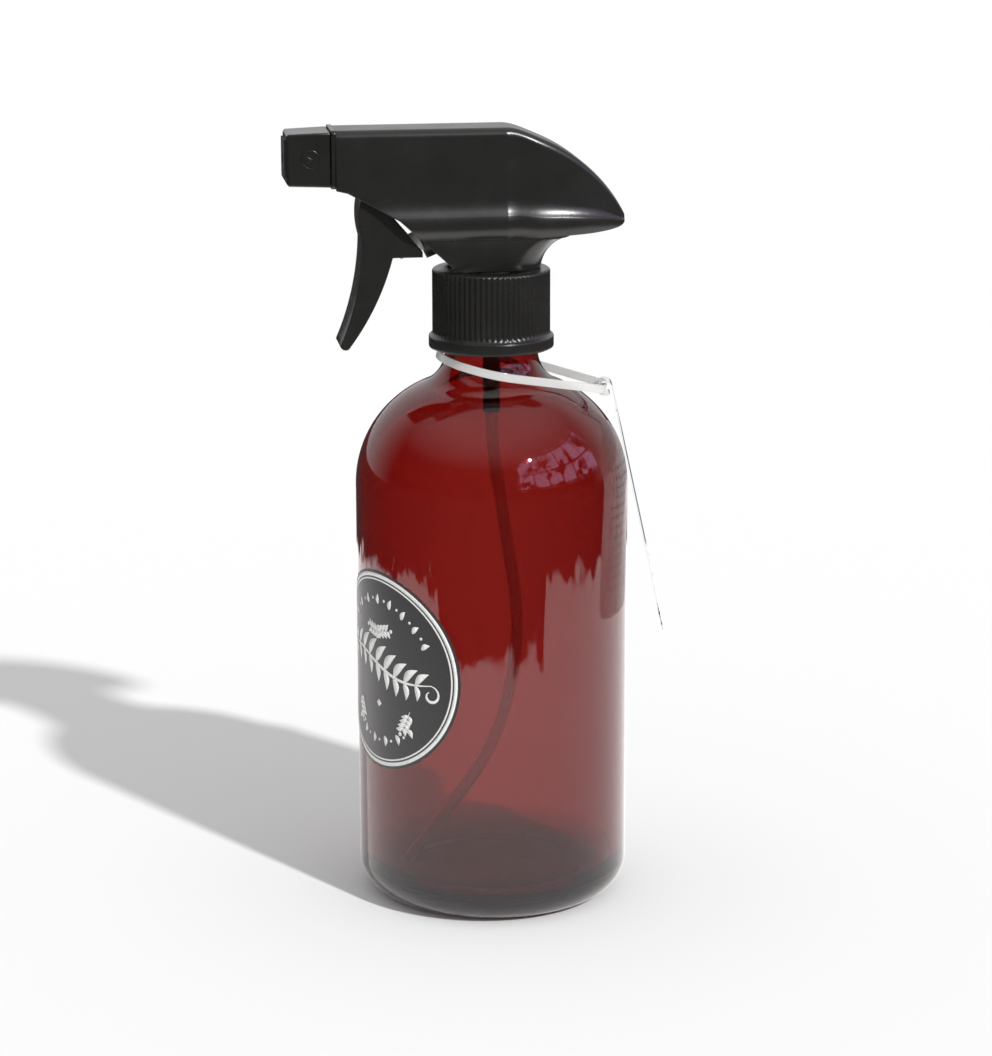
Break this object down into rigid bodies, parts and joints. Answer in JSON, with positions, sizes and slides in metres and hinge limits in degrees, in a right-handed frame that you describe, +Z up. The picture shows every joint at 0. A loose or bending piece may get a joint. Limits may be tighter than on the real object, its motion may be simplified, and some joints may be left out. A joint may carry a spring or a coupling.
{
  "type": "trigger spray bottle",
  "caption": "Round-shouldered amber-red glass bottle with a screw-on trigger sprayer, a wrapped round label and a hanging clear tag.",
  "frame": {"origin": "centre of the bottle's foot ring, on the surface it stands on", "axes": "+Z up along the bottle's axis; the nozzle sprays towards -X, so -X is the front; +Y completes the right-handed frame"},
  "size_m": [0.1052, 0.075, 0.2157],
  "materials": {
    "amber_glass": "deep red-brown glass, polished",
    "label_film": "printed black film with white rings and ornaments",
    "black_pp": "moulded polypropylene, satin",
    "black_pp_ribbed": "moulded polypropylene, satin, ribbed",
    "nozzle_pp": "moulded polypropylene, semi-gloss",
    "pump_pp": "moulded polypropylene, plain",
    "clear_pe": "translucent polyethylene tube",
    "natural_pe": "natural polyethylene",
    "white_rubber": "soft moulded",
    "black_rubber": "soft moulded",
    "spring_steel": "drawn wire",
    "ball_steel": "polished",
    "clear_card": "clear sheet with small print dots",
    "strap_pe": "translucent white, moulded"
  },
  "bodies": {
    "root": {"bottle": "amber_glass", "label": "label_film"},
    "seal": {"gasket": "white_rubber"},
    "closure": {"collar": "black_pp_ribbed"},
    "head": {"pump_body": "pump_pp", "shroud": "black_pp", "tube_holder": "pump_pp", "dip_tube": "clear_pe", "nozzle_bush": "pump_pp", "swirl_plug": "natural_pe", "return_spring": "spring_steel"},
    "trigger_lever": {"trigger": "black_pp"},
    "plunger": {"piston": "natural_pe", "piston_seal": "black_rubber"},
    "nozzle": {"nozzle_cap": "nozzle_pp", "nozzle_pad": "black_rubber"},
    "inlet_valve": {"inlet_ball": "ball_steel"},
    "outlet_valve": {"discharge_valve": "black_rubber"},
    "strap": {"tag_strap": "strap_pe"},
    "tag": {"tag_card": "clear_card"}
  },
  "joints": [
    {"name": "head_lift", "type": "slide", "parent": "root", "child": "seal", "axis": [0, 0, 1], "range_m": [0, 0.00529]},
    {"name": "collar_turn", "type": "hinge", "parent": "seal", "child": "closure", "pos_m": [0, 0, 0.166], "axis": [0, 0, 1], "range_deg": [0, 450]},
    {"name": "head_swivel", "type": "hinge", "parent": "seal", "child": "head", "pos_m": [0, 0, 0.176], "axis": [0, 0, 1], "range_deg": [-180, 180]},
    {"name": "trigger_pull", "type": "hinge", "parent": "head", "child": "trigger_lever", "pos_m": [-0.032, 0, 0.201], "axis": [0, -1, 0], "range_deg": [0, 18], "stiffness_Nm_per_rad": 0.8, "springref_deg": -14.32},
    {"name": "piston_slide", "type": "slide", "parent": "head", "child": "plunger", "axis": [0.9232, 0, 0.3843], "range_m": [0, 0.00595], "deforming": ["return_spring"]},
    {"name": "nozzle_turn", "type": "hinge", "parent": "head", "child": "nozzle", "pos_m": [-0.05, 0, 0.2078], "axis": [-1, 0, 0], "continuous": true},
    {"name": "inlet_ball_lift", "type": "slide", "parent": "head", "child": "inlet_valve", "axis": [0, 0, 1], "range_m": [0, 0.0015]},
    {"name": "outlet_valve_slide", "type": "slide", "parent": "head", "child": "outlet_valve", "axis": [-1, 0, 0], "range_m": [0, 0.0008], "stiffness_N_per_m": 40, "springref_m": -0.001},
    {"name": "strap_turn", "type": "hinge", "parent": "root", "child": "strap", "pos_m": [0, 0, 0.1502], "axis": [0, 0, 1], "range_deg": [-180, 180]},
    {"name": "tag_swing", "type": "hinge", "parent": "strap", "child": "tag", "pos_m": [0.03072, -0.00432, 0.14366], "axis": [-0.1392, -0.9903, 0], "range_deg": [0, 100]}
  ],
  "couplings": [
    {"joint": "collar_turn", "follows": "head_lift", "rad_per_m": 1484.3},
    {"joint": "piston_slide", "follows": "trigger_pull", "m_per_rad": 0.018922}
  ]
}
